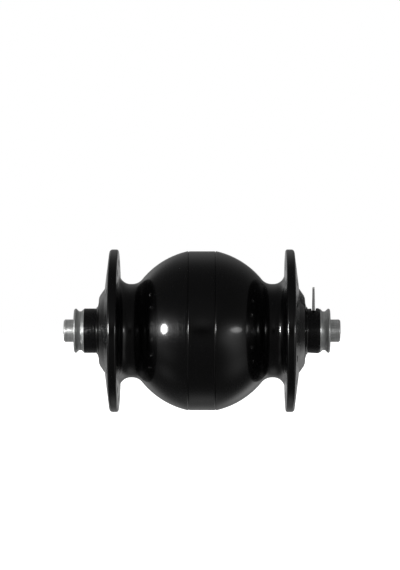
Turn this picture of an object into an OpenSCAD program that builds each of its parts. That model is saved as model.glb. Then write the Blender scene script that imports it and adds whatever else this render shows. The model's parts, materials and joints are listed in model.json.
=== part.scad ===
// Hub dynamo for a bicycle's front wheel: a claw-pole generator in a ball-shaped
// shell that turns on a fixed hollow axle. The axle lies along X, with the
// connector at its +X end and the connector tabs pointing up, +Z. The origin is
// the middle of the hub. Lengths are in millimetres.

/* [Axle] */
// Distance between the two faces that the fork's dropouts clamp
over_locknut = 100; // [98:0.5:104]
// Length of each axle end beyond its end collar
stub_length = 4; // [3.5:0.1:5]
// Diameter of the axle ends
stub_d = 8.8; // [8.4:0.1:9.2]
// Chamfer at the tips of the axle
stub_chamfer = 0.5; // [0.3:0.1:0.8]
// Diameter of the hole for the skewer
skewer_d = 5.2; // [5:0.1:5.6]
// Diameter of the axle between the bearings
shoulder_d = 13; // [12.6:0.1:13.8]
// Diameter of the axle where it carries the stator
stator_seat_d = 16; // [15.6:0.1:16.8]
// Height of the collar that the stator is clamped against, above the stator's seat
stator_stop_h = 2.2; // [1.5:0.1:3]
// Width of that collar
stator_stop_w = 2.5; // [2:0.1:4]

/* [End collars and bushes] */
// Width of an end collar
collar_w = 4; // [3.6:0.1:4.4]
// Diameter of an end collar at its outer edge
collar_outer_d = 17.4; // [17:0.1:18]
// Diameter at the bottom of the collar's groove
collar_groove_d = 15.2; // [14.6:0.1:15.8]
// Width of the flat bottom of the groove
collar_groove_w = 0.9; // [0.6:0.1:1.2]
// Radius of the collar's outer corner
collar_round = 0.8; // [0.5:0.1:1]
// Outside diameter of the spacer sleeves
sleeve_d = 13; // [12.6:0.1:13.6]
// Depth of the left bush and of the end collars' inner edges below the connector block's widest radius
bush_step = 0.15; // [0.05:0.05:0.3]
// Length of the bush and of the connector block between the dust cap's lip and the end collar
bush_show = 4.8; // [4.3:0.05:5.3]

/* [Connector] */
// Depth of the connector block's foot beside the dust cap below its widest radius
block_taper = 0.25; // [0.1:0.05:0.35]
// Diameter of the connector block beside the end collar
block_outer_d = 17.7; // [17.2:0.1:18]
// Chamfer at the collar end of the connector block
block_chamfer = 0.5; // [0.3:0.1:0.8]
// Height of the tab tips above the axle's centre line
tab_top = 17.05; // [15.5:0.1:18.5]
// Width of a connector tab
tab_w = 4.8; // [4.4:0.1:5.2]
// Thickness of a tab at its foot
tab_t = 0.8; // [0.7:0.05:0.9]
// Thickness of a tab at its tip
tab_tip_t = 0.45; // [0.4:0.05:0.6]
// Bevel at the corners of a tab's tip
tab_bevel = 0.9; // [0.6:0.1:1.2]
// Distance between the middles of the two tabs
tab_pitch = 7.2; // [6.6:0.1:7.8]
// Diameter of the detent hole in a tab
tab_hole_d = 1.4; // [1.2:0.1:1.6]
// Depth of the slot across the block that the tabs stand in
tab_slot_depth = 0.8; // [0.6:0.1:1]
// Width of that slot
tab_slot_w = 1.8; // [1.5:0.1:2.2]
// Gap between a tab's tail and the spacer sleeve below it
tab_tail_gap = 0.25; // [0.2:0.05:0.35]
// Distance of a tail's inner edge from the middle between the tabs
tab_tail_in = 0.35; // [0.3:0.05:0.45]

/* [Bearings] */
// Bore of the ball bearings, which is the axle's diameter there
bearing_bore = 10; // [9.8:0.1:10.3]
// Outside diameter of the bearings
bearing_od = 26; // [25.6:0.1:26.6]
// Width of the bearings
bearing_w = 8; // [7.6:0.1:8.6]
// Diameter of the balls
ball_d = 4.762; // [4.6:0.05:4.9]
// Number of balls in a bearing
ball_count = 7; // [6:1:7]
// Gap between the shoulders of the two races
race_gap = 3.3; // [3.1:0.1:3.6]
// Radial thickness of the ball cage
cage_t = 2.1; // [1.8:0.1:2.3]
// Thickness of a bearing seal
seal_t = 0.8; // [0.6:0.1:0.9]
// Radial depth of the seal's seat in the outer race
seal_seat = 0.95; // [0.8:0.05:1.1]
// Thickness of a circlip
circlip_t = 1.2; // [1:0.1:1.4]
// Radial width of a circlip
circlip_w = 2; // [1.7:0.1:2.3]
// Depth of the circlip's groove in the shell
circlip_groove = 0.65; // [0.5:0.05:0.8]
// Angle of the circlip's opening
circlip_open = 40; // [30:1:60]
// Radius of the circlip's lugs
circlip_lug_r = 1.4; // [1.2:0.1:1.5]
// Diameter of the holes in the lugs
circlip_hole_d = 1.2; // [1:0.1:1.4]

/* [Dust caps] */
// Depth that a dust cap sits in the shell's mouth
cap_seat = 1.4; // [1.2:0.1:1.8]
// Height of the dust cap's flat rim above the shell's mouth
cap_proud = 0.2; // [0.1:0.05:0.3]
// Radius of the hollow flare from the rim up to the lip
cap_flare_r = 6.4; // [5.8:0.1:7]
// Width of the lip's flat edge
cap_lip_w = 0.2; // [0.1:0.05:0.4]
// Height of the lip above the shell's mouth
cap_lip_h = 1.3; // [1.1:0.05:1.5]

/* [Shell] */
// Distance between the middles of the two flanges
flange_spacing = 68.7; // [68:0.1:70]
// Diameter of the flanges
flange_d = 63.6; // [62.6:0.1:65]
// Thickness of a flange at its rim
flange_t = 3.7; // [3.3:0.1:4]
// Taper of the flange's inner face from the rim to the neck
flange_taper = 0.3; // [0.1:0.05:0.5]
// Rise of the flange's outer face from the rim to the dish round the boss
flange_rise = 1.5; // [1.2:0.05:1.7]
// Radius of the rim's outer corner
rim_round_out = 1.2; // [0.8:0.1:1.4]
// Radius of the rim's inner corner
rim_round_in = 0.8; // [0.5:0.1:1.1]
// Width of the flat ring round the shell's mouth
boss_land = 0.7; // [0.5:0.05:0.9]
// Radial width of the chamfer round the mouth
boss_chamfer_w = 3.1; // [2.8:0.1:3.4]
// Axial height of that chamfer
boss_chamfer_h = 2.15; // [1.9:0.05:2.3]
// Radial width of the dish round the boss
dish_w = 1.5; // [1.2:0.1:2]
// Diameter of the ball-shaped part of each half
ball_shell_d = 63.8; // [62.8:0.1:64.6]
// Distance of each half-ball's centre past the middle of the hub
ball_offset = 1.385; // [0.8:0.005:2]
// Diameter of the band round the middle
band_d = 62.2; // [61.6:0.1:62.6]
// Width of the band round the middle
band_w = 10.5; // [10:0.1:11]
// Chamfer on each side of the two seams
seam_chamfer = 0.4; // [0.2:0.05:0.5]
// Smallest diameter of the neck between ball and flange
neck_d = 36.6; // [36:0.1:37.4]
// Wall of the ball-shaped part
shell_wall = 3.2; // [2.8:0.1:3.6]
// Height of the ledge that the bearing is pushed against
pocket_ledge = 1.5; // [1.2:0.1:1.7]

/* [Spoke holes] */
// Number of spoke holes in one flange
spokes_per_flange = 16; // [14:1:18]
// Diameter of the circle of spoke holes
spoke_circle_d = 54; // [53:0.1:55]
// Diameter of a spoke hole
spoke_hole_d = 2.6; // [2.4:0.1:2.8]
// Angle of the first hole of the right flange below the front, in degrees
spoke_turn = 0; // [0:0.5:11]

/* [Magnet ring] */
// Depth of the flux ring's sleeve, which the shell halves slide over, below the band
ring_step = 3.2; // [3:0.1:3.5]
// Length of that sleeve
ring_sleeve_l = 18.8; // [18:0.1:19.4]
// Wall of that sleeve
ring_sleeve_t = 2.2; // [2:0.1:2.4]
// Number of magnets
magnet_count = 26; // [24:2:28]
// Radial thickness of a magnet
magnet_t = 2.8; // [2.6:0.1:3]
// Length of a magnet along the axle
magnet_l = 17.2; // [16.4:0.1:17.8]
// Gap between neighbouring magnets
magnet_gap = 0.5; // [0.3:0.1:0.9]
// Thickness of the O-rings
oring_d = 1.5; // [1.4:0.05:1.6]
// Depth of the O-rings' grooves
oring_groove = 1.2; // [1.1:0.05:1.3]

/* [Stator] */
// Length of the stator along the axle
stator_l = 18; // [17:0.1:18.6]
// Air gap between the magnets and the claws
air_gap = 0.5; // [0.4:0.05:0.7]
// Wall of the stator's core sleeve
core_t = 2.2; // [2:0.1:2.6]
// Thickness of the claw plates
claw_plate_t = 2.2; // [1.9:0.1:2.4]
// Radial thickness of the claws
claw_t = 2; // [1.7:0.1:2.2]
// Share of a pole's pitch that a claw covers
claw_share = 0.7; // [0.6:0.02:0.8]
// Depth of the cuts between the claws below the claws' inside
claw_root = 0.2; // [0.1:0.1:0.4]
// Gap between a claw's tip and the other plate
claw_tip_gap = 1.2; // [1:0.1:1.8]
// Wall of the coil's bobbin
bobbin_t = 0.9; // [0.7:0.1:1.1]
// Gap between the bobbin's rim and the claws
bobbin_gap = 0.5; // [0.3:0.1:0.7]
// Depth that the coil stays below the bobbin's rim
coil_depth = 0.4; // [0.2:0.1:0.8]
// Thickness of the stator washer
washer_t = 0.8; // [0.6:0.1:1]
// Outside diameter of the stator nut and washer
nut_d = 23.6; // [22.6:0.1:24]
// Width of the stator nut
nut_w = 4; // [3.5:0.1:4.6]
// Width of the slots in the stator nut
nut_slot_w = 3; // [2.6:0.1:3.4]
// Depth of the slots in the stator nut
nut_slot_depth = 1.4; // [1.1:0.1:1.7]
// Width of the stator key
key_w = 3; // [2.6:0.1:3.4]
// Length of the stator key
key_l = 12; // [10:0.5:14]
// Depth of the key in the axle
key_depth = 1.8; // [1.5:0.1:2]
// Height of the key above the axle
key_rise = 1.2; // [1:0.1:1.4]

/* [Leads] */
// Diameter of a lead wire
lead_d = 1.1; // [1:0.05:1.15]
// Distance between the two leads
lead_pitch = 1.24; // [1.2:0.02:1.3]
// Width of the leads' groove in the axle
lead_groove_w = 2.6; // [2.5:0.05:2.7]
// Height of the groove's bottom above the axle's centre line
lead_groove_z = 3.65; // [3.55:0.05:3.7]
// Height at which the leads cross the stator nut
lead_high_z = 13; // [12.8:0.1:14]
// Distance from the stator nut to where the leads start down to their groove
lead_drop_gap = 1.5; // [1.2:0.1:2]
// Length of the leads' slope down to the groove
lead_slope_l = 5; // [4.6:0.1:6]
// Length of the easing at each end of that slope
lead_ease = 1.2; // [1:0.1:1.4]
// Radius of the leads' bend up to the tabs
lead_bend = 1.2; // [1:0.1:1.4]
// Side clearance of the openings that the leads pass through
lead_port_gap = 0.2; // [0.15:0.05:0.3]

/* [Fits] */
// Radial clearance of pieces that slide onto each other
fit_gap = 0.02; // [0.01:0.01:0.05]
// Running clearance of the balls in their races
ball_gap = 0.05; // [0.03:0.01:0.08]
// Clearance of the balls in the cage
cage_gap = 0.1; // [0.08:0.01:0.15]
// Running clearance of a bearing seal round the inner race
seal_gap = 0.06; // [0.05:0.01:0.1]
// Running clearance of a dust cap round the bush
cap_gap = 0.25; // [0.2:0.05:0.4]

/* [Hidden] */
$fn = 96;

// Stations along the axle, right half
flange_in_x = flange_spacing / 2 - flange_t / 2;
flange_out_x = flange_spacing / 2 + flange_t / 2;
flange_root_x = flange_in_x - flange_taper;
dish_x = flange_out_x + flange_rise;
face_x = over_locknut / 2;
axle_end_x = face_x + stub_length;
collar_in_x = face_x - collar_w;
cap_lip_x = collar_in_x - bush_show;
boss_end_x = cap_lip_x - cap_lip_h;
boss_foot_x = boss_end_x - boss_chamfer_h;
cap_in_x = boss_end_x - cap_seat;
cap_face_x = boss_end_x + cap_proud;
bearing_out_x = cap_in_x - circlip_t;
bearing_in_x = bearing_out_x - bearing_w;
bearing_x = (bearing_in_x + bearing_out_x) / 2;
tab_x = (cap_lip_x + collar_in_x) / 2;
seam_x = band_w / 2;
ring_sleeve_x = ring_sleeve_l / 2;
oring_x = (seam_x + ring_sleeve_x) / 2;
stator_x = stator_l / 2;
plate_in_x = stator_x - claw_plate_t;
washer_out_x = stator_x + washer_t;
nut_out_x = washer_out_x + nut_w;

// Radii
seat_r = bearing_bore / 2;
pocket_r = bearing_od / 2;
pitch_r = (bearing_bore + bearing_od) / 4;
ball_r = ball_d / 2;
inner_shoulder_r = pitch_r - race_gap / 2;
outer_shoulder_r = pitch_r + race_gap / 2;
seal_out_r = outer_shoulder_r + seal_seat;
circlip_out_r = pocket_r + circlip_groove - fit_gap;
circlip_in_r = circlip_out_r - circlip_w;
block_outer_r = block_outer_d / 2;
block_inner_r = block_outer_r - block_taper;
block_slot_r = (block_inner_r + block_outer_r) / 2;
bush_r = block_outer_r - bush_step;
cap_bore_r = block_outer_r + cap_gap;
cap_r = pocket_r - fit_gap;
stator_stop_r = stator_seat_d / 2 + stator_stop_h;
boss_r = pocket_r + boss_land;
boss_foot_r = boss_r + boss_chamfer_w;
dish_r = boss_foot_r + dish_w;
flange_r = flange_d / 2;
neck_r = neck_d / 2;
band_r = band_d / 2;
shell_r = ball_shell_d / 2;
seam_r = sqrt(pow(shell_r, 2) - pow(seam_x + ball_offset, 2));
ring_sleeve_r = min(band_r, seam_r) - ring_step;
magnet_out_r = ring_sleeve_r - ring_sleeve_t;
magnet_in_r = magnet_out_r - magnet_t;
claw_r = magnet_in_r - air_gap;
claw_in_r = claw_r - claw_t;
core_in_r = stator_seat_d / 2 + fit_gap;
core_r = core_in_r + core_t;
bobbin_r = claw_in_r - bobbin_gap;
coil_in_r = core_r + fit_gap + bobbin_t;
coil_x = plate_in_x - bobbin_t;
nut_r = nut_d / 2;

// The neck's round groove touches the ball, the neck's diameter and the flange's inner face
neck_reach = flange_root_x + ball_offset;
neck_sum = neck_reach + shell_r - neck_r;
neck_rest = pow(neck_r, 2) + pow(neck_reach, 2) - pow(shell_r, 2);
neck_fillet = neck_sum - sqrt(pow(neck_sum, 2) - neck_rest);
neck_centre = [neck_r + neck_fillet, flange_root_x - neck_fillet];
neck_slope = neck_centre[0] / (neck_centre[1] + ball_offset);

// A dust cap's hollow flare leaves the rim's flat face smoothly and ends at the lip's edge
cap_flare_x = cap_face_x + cap_flare_r;
cap_flare_w = sqrt(pow(cap_flare_r, 2) - pow(cap_flare_x - cap_lip_x, 2));
cap_flare_centre = [cap_bore_r + cap_lip_w + cap_flare_w, cap_flare_x];

// The tabs stand on the bottom of the block's slot, and their tails reach down to the leads
tab_floor_z = block_slot_r - tab_slot_depth;
tab_tail_z = sleeve_d / 2 + tab_tail_gap;
lead_z = lead_groove_z + lead_d / 2 + fit_gap;
lead_slot_x = tab_x - lead_bend - lead_d;
lead_window = lead_groove_w + 2 * lead_port_gap;
lead_drop_x = nut_out_x + lead_drop_gap;
lead_land_x = lead_drop_x + lead_slope_l;
lead_ease_z = lead_ease * 2 / 3;
lead_bend_mid = lead_bend * (1 - cos(45));
lead_route = [
  [coil_x, lead_high_z],
  [lead_drop_x, lead_high_z],
  [lead_drop_x + lead_ease, lead_high_z - lead_ease_z],
  [lead_land_x, lead_z + lead_ease_z],
  [lead_land_x + lead_ease, lead_z],
  [tab_x - lead_bend, lead_z],
  [tab_x - lead_bend_mid, lead_z + lead_bend_mid],
  [tab_x, lead_z + lead_bend],
  [tab_x, tab_tail_z],
];
lead_sides = 8;

spoke_pitch = 360 / spokes_per_flange;
claw_count = magnet_count / 2;
pole_pitch = 360 / magnet_count;

// Overlap where a cut has to break through a face or a blend has to bite
cut = 1;
bite = 0.005;

// Helpers: a profile's points are [radius, place along the axle]

module turned() rotate([0, 90, 0]) rotate_extrude() children();

module section(r0, r1, x0, x1) translate([r0, x0]) square([r1 - r0, x1 - x0]);

module ring(r0, r1, x0, x1) turned() section(r0, r1, x0, x1);

module left_side() mirror([1, 0, 0]) children();

// A ring's arc of some degrees, its middle turned by an angle from +Z about the axle
module ring_arc(r0, r1, x0, x1, degrees, turn)
  rotate([turn, 0, 0]) rotate([0, 90, 0]) rotate([0, 0, 180 - degrees / 2])
    rotate_extrude(angle = degrees) section(r0, r1, x0, x1);

// A box from one corner to the other
module block(low, high) translate(low) cube(high - low);

// Axle and what is clamped on it

module lead_groove()
  block(
    [lead_drop_x, -lead_groove_w / 2, lead_groove_z],
    [tab_x + lead_d, lead_groove_w / 2, stator_seat_d]
  );

module key_box(rise) {
  seat = stator_seat_d / 2;
  block([-key_l / 2, -key_w / 2, -seat - rise], [key_l / 2, key_w / 2, -seat + key_depth]);
}

module axle() color("silver") difference() {
  turned() polygon([
    [skewer_d / 2, -axle_end_x],
    [stub_d / 2 - stub_chamfer, -axle_end_x],
    [stub_d / 2, -axle_end_x + stub_chamfer],
    [stub_d / 2, -face_x],
    [seat_r, -face_x],
    [seat_r, -bearing_in_x],
    [shoulder_d / 2, -bearing_in_x],
    [shoulder_d / 2, -stator_x - stator_stop_w],
    [stator_stop_r, -stator_x - stator_stop_w],
    [stator_stop_r, -stator_x],
    [stator_seat_d / 2, -stator_x],
    [stator_seat_d / 2, nut_out_x],
    [shoulder_d / 2, nut_out_x],
    [shoulder_d / 2, bearing_in_x],
    [seat_r, bearing_in_x],
    [seat_r, face_x],
    [stub_d / 2, face_x],
    [stub_d / 2, axle_end_x - stub_chamfer],
    [stub_d / 2 - stub_chamfer, axle_end_x],
    [skewer_d / 2, axle_end_x],
  ]);
  lead_groove();
  key_box(key_rise);
}

module end_collar() color("lightgray") turned() {
  groove_x = (collar_in_x + face_x - collar_round) / 2;
  polygon([
    [seat_r + fit_gap, collar_in_x],
    [bush_r, collar_in_x],
    [collar_groove_d / 2, groove_x - collar_groove_w / 2],
    [collar_groove_d / 2, groove_x + collar_groove_w / 2],
    [collar_outer_d / 2, face_x - collar_round],
    [collar_outer_d / 2 - collar_round, face_x],
    [seat_r + fit_gap, face_x],
  ]);
  translate([collar_outer_d / 2 - collar_round, face_x - collar_round]) circle(collar_round);
}

module left_end_collar() left_side() end_collar();

module right_end_collar() end_collar();

module spacer_sleeve() color("darkgray")
  ring(seat_r + fit_gap, sleeve_d / 2, bearing_out_x, collar_in_x);

module left_spacer_sleeve() left_side() spacer_sleeve();

module right_spacer_sleeve() difference() {
  spacer_sleeve();
  color("darkgray") block(
    [lead_slot_x, -lead_window / 2, 0],
    [tab_x + lead_d, lead_window / 2, sleeve_d]
  );
}

module left_bush() color([0.06, 0.06, 0.06]) left_side()
  ring(sleeve_d / 2 + fit_gap, bush_r, cap_in_x, collar_in_x);

// Connector

module tab_tail(room)
  for (side = [-1, 1]) scale([1, side, 1])
    block(
      [tab_x - tab_t / 2 - room, tab_tail_in - room, tab_tail_z - room],
      [tab_x + tab_t / 2 + room, tab_pitch / 2 + room, tab_floor_z + cut]
    );

module connector_block() color([0.05, 0.05, 0.05]) difference() {
  turned() polygon([
    [sleeve_d / 2 + fit_gap, cap_in_x],
    [block_inner_r, cap_in_x],
    [block_inner_r, cap_lip_x],
    [block_outer_r, collar_in_x - block_chamfer],
    [block_outer_r - block_chamfer, collar_in_x],
    [sleeve_d / 2 + fit_gap, collar_in_x],
  ]);
  block(
    [tab_x - tab_slot_w / 2, -block_outer_d, tab_floor_z],
    [tab_x + tab_slot_w / 2, block_outer_d, block_outer_d]
  );
  tab_tail(fit_gap);
  block(
    [lead_slot_x, -lead_window / 2, 0],
    [tab_x + lead_d, lead_window / 2, tab_tail_z]
  );
}

// A tab at +Y: a blade that thins towards its tip, and a narrower tail below it
module connector_tab() color([0.62, 0.62, 0.6]) difference() {
  union() {
    intersection() {
      rotate([90, 0, 0]) linear_extrude(2 * tab_pitch, center = true) polygon([
        [tab_x - tab_t / 2, tab_floor_z],
        [tab_x + tab_t / 2, tab_floor_z],
        [tab_x + tab_tip_t / 2, tab_top],
        [tab_x - tab_tip_t / 2, tab_top],
      ]);
      rotate([90, 0, 90]) linear_extrude(over_locknut) translate([tab_pitch / 2, 0]) polygon([
        [-tab_w / 2, tab_floor_z],
        [tab_w / 2, tab_floor_z],
        [tab_w / 2, tab_top - tab_bevel],
        [tab_w / 2 - tab_bevel, tab_top],
        [tab_bevel - tab_w / 2, tab_top],
        [-tab_w / 2, tab_top - tab_bevel],
      ]);
    }
    block(
      [tab_x - tab_t / 2, tab_tail_in, tab_tail_z],
      [tab_x + tab_t / 2, tab_pitch / 2, tab_floor_z + tab_t / 2]
    );
  }
  translate([tab_x, tab_pitch / 2, (tab_floor_z + tab_top) / 2]) rotate([0, 90, 0])
    cylinder(d = tab_hole_d, h = 2 * tab_t, center = true);
}

module front_connector_tab() mirror([0, 1, 0]) connector_tab();

module rear_connector_tab() connector_tab();

// A round wire along points [x, z] of the plane y = side
module lead_wire(side) {
  last = len(lead_route) - 1;
  places = [for (p = lead_route) [p[0], side, p[1]]];
  ways = [for (i = [0:last]) places[min(i + 1, last)] - places[max(i - 1, 0)]];
  outs = [for (way = ways) cross(way, [0, 1, 0]) / norm(way)];
  points = [
    for (i = [0:last], k = [0:lead_sides - 1])
      let (turn = 360 * k / lead_sides)
      places[i] + lead_d / 2 * (cos(turn) * [0, 1, 0] + sin(turn) * outs[i])
  ];
  sides = [
    for (i = [0:last - 1], k = [0:lead_sides - 1])
      let (a = i * lead_sides + k, b = i * lead_sides + (k + 1) % lead_sides)
      each [[a, b, b + lead_sides], [a, b + lead_sides, a + lead_sides]]
  ];
  first_end = [for (k = [1:lead_sides - 2]) [0, k + 1, k]];
  far_end = [for (k = [1:lead_sides - 2]) last * lead_sides * [1, 1, 1] + [0, k, k + 1]];
  polyhedron(points, concat(sides, first_end, far_end));
}

module front_lead_wire() color("firebrick") lead_wire(-lead_pitch / 2);

module rear_lead_wire() color([0.15, 0.15, 0.15]) lead_wire(lead_pitch / 2);

// Opening in the stator's right side for the leads
module lead_port()
  block(
    [coil_x, -lead_window / 2, lead_high_z - lead_d],
    [stator_x + cut, lead_window / 2, lead_high_z + lead_d]
  );

// Stator

module stator_core() color("slategray") difference() {
  ring(core_in_r, core_r, -stator_x, stator_x);
  block(
    [-stator_x - cut, -key_w / 2 - fit_gap, -stator_seat_d / 2 - key_rise - fit_gap],
    [stator_x + cut, key_w / 2 + fit_gap, 0]
  );
}

// The right-hand plate, with claws that reach to the left: one turned body, cut between the claws
module claw_poles() color("slategray") difference() {
  turned() {
    section(core_r + fit_gap, claw_r, plate_in_x, stator_x);
    section(claw_in_r, claw_r, claw_tip_gap - plate_in_x, stator_x);
  }
  for (i = [0:claw_count - 1])
    ring_arc(
      claw_in_r - claw_root, claw_r + cut, -stator_x, stator_x + cut,
      pole_pitch * (2 - claw_share), pole_pitch * (2 * i + 1)
    );
}

module left_claw_poles() rotate([pole_pitch, 0, 0]) left_side() claw_poles();

module right_claw_poles() difference() {
  claw_poles();
  color("slategray") lead_port();
}

module coil_bobbin() color("ivory") difference() {
  turned() difference() {
    section(core_r + fit_gap, bobbin_r, -plate_in_x, plate_in_x);
    section(coil_in_r, bobbin_r + cut, -coil_x, coil_x);
  }
  lead_port();
}

module coil_winding() color([0.72, 0.45, 0.2])
  ring(coil_in_r, bobbin_r - coil_depth, -coil_x, coil_x);

module stator_key() color("dimgray") key_box(key_rise);

module stator_washer() color("silver")
  ring(stator_seat_d / 2 + fit_gap, nut_r, stator_x, washer_out_x);

module stator_nut() color("dimgray") difference() {
  ring(stator_seat_d / 2 + fit_gap, nut_r, washer_out_x, nut_out_x);
  for (turn = [45:90:315]) rotate([turn, 0, 0])
    block(
      [washer_out_x - cut, -nut_slot_w / 2, nut_r - nut_slot_depth],
      [nut_out_x + cut, nut_slot_w / 2, nut_r + cut]
    );
}

// Shell

// The notch that chamfers an edge beside a seam
module seam_notch(edge_r) translate([edge_r, seam_x]) rotate(45)
  square(seam_chamfer * sqrt(2), center = true);

module shell_outside() {
  intersection() {
    translate([0, -ball_offset]) circle(shell_r);
    section(0, shell_r, seam_x, flange_root_x);
  }
  difference() {
    polygon([
      [0, seam_x],
      [neck_slope * (seam_x + ball_offset), seam_x],
      neck_centre,
      [neck_centre[0], flange_root_x],
      [flange_r - rim_round_in, flange_in_x],
      [flange_r, flange_in_x + rim_round_in],
      [flange_r, flange_out_x - rim_round_out],
      [flange_r - rim_round_out, flange_out_x],
      [dish_r, dish_x],
      [boss_foot_r, boss_foot_x],
      [boss_r, boss_end_x],
      [0, boss_end_x],
    ]);
    translate(neck_centre) circle(neck_fillet + bite);
  }
  translate([flange_r - rim_round_in, flange_in_x + rim_round_in]) circle(rim_round_in);
  translate([flange_r - rim_round_out, flange_out_x - rim_round_out]) circle(rim_round_out);
}

module shell_inside() {
  section(0, ring_sleeve_r + fit_gap, seam_x - cut, ring_sleeve_x + fit_gap);
  intersection() {
    translate([0, -ball_offset]) circle(shell_r - shell_wall);
    section(0, shell_r, ring_sleeve_x, bearing_in_x);
  }
  section(0, pocket_r - pocket_ledge, seam_x, bearing_in_x + cut);
  section(0, pocket_r, bearing_in_x, boss_end_x + cut);
  section(0, pocket_r + circlip_groove, bearing_out_x, cap_in_x);
}

// The right half, with its spoke holes turned by an angle from the front
module shell_half(turn) color([0.07, 0.07, 0.075]) difference() {
  turned() difference() {
    shell_outside();
    shell_inside();
    seam_notch(seam_r);
  }
  for (i = [0:spokes_per_flange - 1]) rotate([turn + i * spoke_pitch, 0, 0])
    translate([flange_root_x - cut, -spoke_circle_d / 2, 0]) rotate([0, 90, 0])
      cylinder(d = spoke_hole_d, h = dish_x - flange_root_x + 2 * cut);
}

module left_shell() left_side() shell_half(spoke_turn + spoke_pitch / 2);

module right_shell() shell_half(spoke_turn);

module dust_cap() color([0.08, 0.08, 0.085]) turned() {
  section(cap_bore_r, cap_r, cap_in_x, cap_face_x);
  difference() {
    section(cap_bore_r, min(cap_flare_centre[0], cap_r), cap_in_x, cap_lip_x);
    translate(cap_flare_centre) circle(cap_flare_r);
  }
}

module left_dust_cap() left_side() dust_cap();

module right_dust_cap() dust_cap();

// Magnet ring

module flux_ring() color([0.07, 0.07, 0.075]) turned() difference() {
  union() {
    section(magnet_out_r, band_r, -seam_x, seam_x);
    section(magnet_out_r, ring_sleeve_r, -ring_sleeve_x, ring_sleeve_x);
  }
  for (side = [0, 1]) mirror([0, side]) {
    seam_notch(band_r);
    section(
      ring_sleeve_r - oring_groove, ring_sleeve_r + fit_gap / 2,
      oring_x - oring_d / 2 - fit_gap, oring_x + oring_d / 2 + fit_gap
    );
  }
}

module magnets() color([0.35, 0.35, 0.37]) {
  arc = 360 / magnet_count - magnet_gap / magnet_in_r * 180 / PI;
  for (i = [0:magnet_count - 1])
    ring_arc(magnet_in_r, magnet_out_r, -magnet_l / 2, magnet_l / 2, arc, i * pole_pitch);
}

// A squeezed O-ring: round at its sides, flat against groove and shell
module o_ring() color([0.1, 0.1, 0.1]) turned() intersection() {
  translate([ring_sleeve_r - oring_groove / 2, oring_x]) circle(oring_d / 2);
  section(
    ring_sleeve_r - oring_groove, ring_sleeve_r + fit_gap,
    oring_x - oring_d, oring_x + oring_d
  );
}

module left_o_ring() left_side() o_ring();

module right_o_ring() o_ring();

// Bearings

module ball_track() translate([pitch_r, bearing_x]) circle(ball_r + ball_gap);

module inner_race() color("gainsboro") turned() difference() {
  section(seat_r, inner_shoulder_r, bearing_in_x, bearing_out_x);
  ball_track();
}

module outer_race() color("gainsboro") turned() difference() {
  section(outer_shoulder_r, pocket_r, bearing_in_x, bearing_out_x);
  ball_track();
  section(outer_shoulder_r - cut, seal_out_r, bearing_in_x - cut, bearing_in_x + seal_t);
  section(outer_shoulder_r - cut, seal_out_r, bearing_out_x - seal_t, bearing_out_x + cut);
}

module bearing_seals() color([0.12, 0.12, 0.12])
  for (x = [bearing_in_x, bearing_out_x - seal_t])
    ring(inner_shoulder_r + seal_gap, seal_out_r, x, x + seal_t);

module each_ball()
  for (i = [0:ball_count - 1]) rotate([i * 360 / ball_count, 0, 0])
    translate([bearing_x, 0, pitch_r]) children();

module bearing_balls() color("white") each_ball() sphere(ball_r);

module ball_cage() color("goldenrod") difference() {
  cage_x = bearing_w / 2 - seal_t - cage_gap;
  ring(pitch_r - cage_t / 2, pitch_r + cage_t / 2, bearing_x - cage_x, bearing_x + cage_x);
  each_ball() sphere(ball_r + cage_gap);
}

// An open ring with a drilled lug at each end, opening downwards
module circlip() color("dimgray") {
  lug_r = circlip_in_r + circlip_w / 4;
  ring_arc(circlip_in_r, circlip_out_r, bearing_out_x, cap_in_x, 360 - circlip_open, 0);
  for (side = [-1, 1]) rotate([side * (180 - circlip_open / 2), 0, 0])
    translate([bearing_out_x, 0, lug_r]) rotate([0, 90, 0]) difference() {
      cylinder(r = circlip_lug_r, h = circlip_t);
      translate([0, 0, -cut]) cylinder(d = circlip_hole_d, h = circlip_t + 2 * cut);
    }
}

module left_inner_race() left_side() inner_race();

module right_inner_race() inner_race();

module left_outer_race() left_side() outer_race();

module right_outer_race() outer_race();

module left_bearing_seals() left_side() bearing_seals();

module right_bearing_seals() bearing_seals();

module left_bearing_balls() left_side() bearing_balls();

module right_bearing_balls() bearing_balls();

module left_ball_cage() left_side() ball_cage();

module right_ball_cage() ball_cage();

module left_circlip() left_side() circlip();

module right_circlip() circlip();

axle();
left_end_collar();
right_end_collar();
left_spacer_sleeve();
right_spacer_sleeve();
left_bush();
connector_block();
front_connector_tab();
rear_connector_tab();
left_inner_race();
right_inner_race();
stator_core();
left_claw_poles();
right_claw_poles();
coil_bobbin();
coil_winding();
stator_key();
stator_washer();
stator_nut();
front_lead_wire();
rear_lead_wire();
left_shell();
right_shell();
flux_ring();
magnets();
left_o_ring();
right_o_ring();
left_outer_race();
right_outer_race();
left_bearing_seals();
right_bearing_seals();
left_circlip();
right_circlip();
left_dust_cap();
right_dust_cap();
left_bearing_balls();
left_ball_cage();
right_bearing_balls();
right_ball_cage();
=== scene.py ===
"""Looks of a hub dynamo: turned and carved pieces, their finishes, and a plain white studio."""
import json
import math

import bmesh
import bpy
from mathutils import Matrix, Vector


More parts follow.
